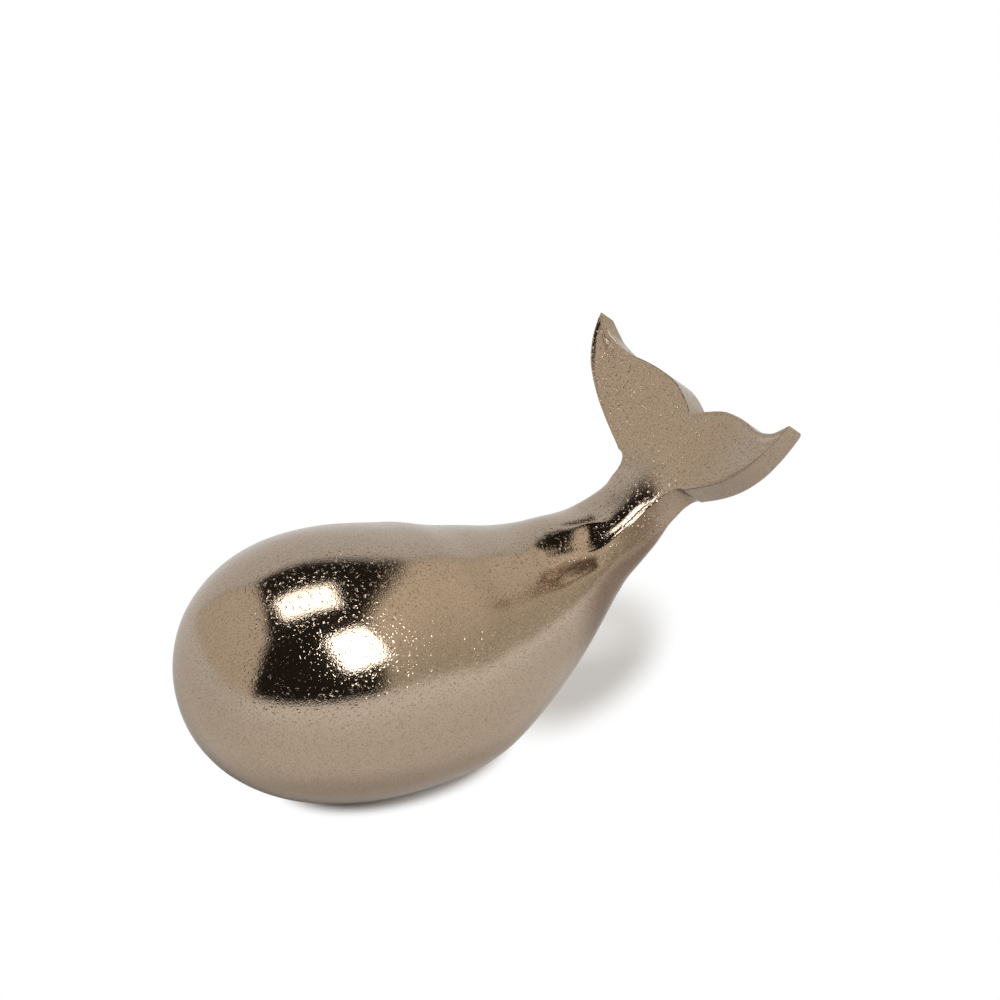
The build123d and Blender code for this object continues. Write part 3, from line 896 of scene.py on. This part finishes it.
def make_floor():
    """White table. The camera sees it lit white, except round the foot's rim and in the oval under the tail,
    where the real shadow shows. The metal sees it glow only further out, as painted light dimmer towards the
    back."""
    material, tree = new_material("white_table_laminate")
    path = add(tree, "LightPath")
    place = add(tree, "TexCoord").outputs["Object"]
    foot = (1 / (FOOT_HALF_LENGTH * MM), 1 / (FOOT_HALF_WIDTH * MM), 0)
    scaled = add(tree, "VectorMath", [(0, place), (1, foot)], operation="MULTIPLY")
    reach = add(tree, "VectorMath", [(0, scaled.outputs["Vector"])], operation="LENGTH")
    outside = add(tree, "MapRange", [("Value", reach.outputs["Value"]), ("From Min", 1.0), ("From Max", 1.3)],
                  interpolation_type="SMOOTHSTEP")
    turned = add(tree, "Mapping", [("Vector", place), ("Location", Vector(SHADOW_PLACE) * MM),
                                   ("Rotation", (0, 0, math.radians(SHADOW_TURN))),
                                   ("Scale", Vector((*SHADOW_SIZE, 1)) * MM)], vector_type="TEXTURE")
    spread = add(tree, "VectorMath", [(0, turned.outputs["Vector"])], operation="LENGTH")
    clear = add(tree, "MapRange", [("Value", spread.outputs["Value"]), ("From Min", 0.5), ("From Max", 1.05)],
                interpolation_type="SMOOTHSTEP")
    both = add(tree, "Math", [(0, outside.outputs["Result"]), (1, clear.outputs["Result"])],
               operation="MULTIPLY")
    away = add(tree, "VectorMath", [(0, place)], operation="LENGTH")
    far = add(tree, "MapRange", [("Value", away.outputs["Value"]), ("From Min", 0.12), ("From Max", 0.35)],
              interpolation_type="SMOOTHSTEP")
    camera = add(tree, "Math", [(0, both.outputs["Value"]), (1, path.outputs["Is Camera Ray"])],
                 operation="MULTIPLY")
    glossy = add(tree, "Math", [(0, far.outputs["Result"]), (1, path.outputs["Is Glossy Ray"])],
                 operation="MULTIPLY")
    share = add(tree, "Math", [(0, camera.outputs["Value"]), (1, glossy.outputs["Value"])], operation="ADD")
    base = add(tree, "BsdfDiffuse", [("Color", linear("F2F2F2"))])
    sides = add(tree, "SeparateXYZ", [(0, place)])
    # Painted light: the table as the metal mirrors it glows at 0.8 towards the back and 1.0 towards the front
    front = add(tree, "MapRange", [("Value", sides.outputs["Y"]), ("From Min", 0.05), ("From Max", -0.25),
                                   ("To Min", 0.8), ("To Max", 1.0)])
    level = add(tree, "Math", [(0, front.outputs["Result"]), (1, path.outputs["Is Camera Ray"])],
                operation="MAXIMUM")
    glow = add(tree, "Emission", [("Color", (1, 1, 1, 1)), ("Strength", level.outputs["Value"])])
    pick = add(tree, "MixShader", [(0, share.outputs["Value"]), (1, base.outputs[0]), (2, glow.outputs[0])])
    add(tree, "OutputMaterial", [("Surface", pick.outputs[0])])
    mesh = bpy.data.meshes.new("table")
    size = 4.0              # metres from the middle to each side
    corners = [(-size, -size, 0), (size, -size, 0), (size, size, 0), (-size, size, 0)]
    mesh.from_pydata(corners, [], [(0, 1, 2, 3)])
    mesh.materials.append(material)
    floor = bpy.data.objects.new("table", mesh)
    bpy.context.scene.collection.objects.link(floor)


HEAD = Vector((-0.035, -0.02, 0.08))


def softbox(name, azimuth, elevation, width, height, power, roll):
    """Soft lamp one metre from the whale's head."""
    lamp = bpy.data.lights.new(name, "AREA")
    lamp.shape = "RECTANGLE"
    lamp.size, lamp.size_y = width, height
    lamp.energy = power
    holder = bpy.data.objects.new(name, lamp)
    bpy.context.scene.collection.objects.link(holder)
    way = toward(azimuth, elevation)
    holder.location = HEAD + way
    holder.rotation_euler = way.to_track_quat("Z", "Y").to_euler()
    holder.rotation_euler.rotate_axis("Z", math.radians(roll))
    holder.visible_camera = False


def make_camera():
    data = bpy.data.cameras.new("camera")
    data.lens, data.sensor_width = LENS, SENSOR
    data.clip_end = 20
    camera = bpy.data.objects.new("camera", data)
    bpy.context.scene.collection.objects.link(camera)
    away = toward(CAMERA_AZIMUTH, CAMERA_ELEVATION)
    camera.location = CAMERA_TARGET * MM + CAMERA_DISTANCE * away
    camera.rotation_euler = away.to_track_quat("Z", "Y").to_euler()
    bpy.context.scene.camera = camera


bronze = bronze_plated_casting()
make_body(bronze)
make_tail(bronze)
make_felt(wool_felt())
zinc = brushed_steel("zinc_plated_steel", "B4B6B8", 0.38)
plate = brushed_steel("rolled_steel_sheet", "A3A5A6", 0.45)
for name, material in (("base_plate", plate), ("base_screw_front", zinc), ("base_screw_rear", zinc),
                       ("tail_screw", zinc), ("tail_washer", zinc), ("tail_dowel", zinc)):
    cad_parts[name].data.materials.clear()
    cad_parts[name].data.materials.append(material)
make_world()
make_floor()
softbox("overhead_softbox", 0, 89.9, 0.66, 0.40, 3.6, -12)
softbox("front_softbox", 13, 36, 0.42, 0.50, 5.8, 0)
make_camera()
bpy.context.scene.view_settings.view_transform = "Standard"
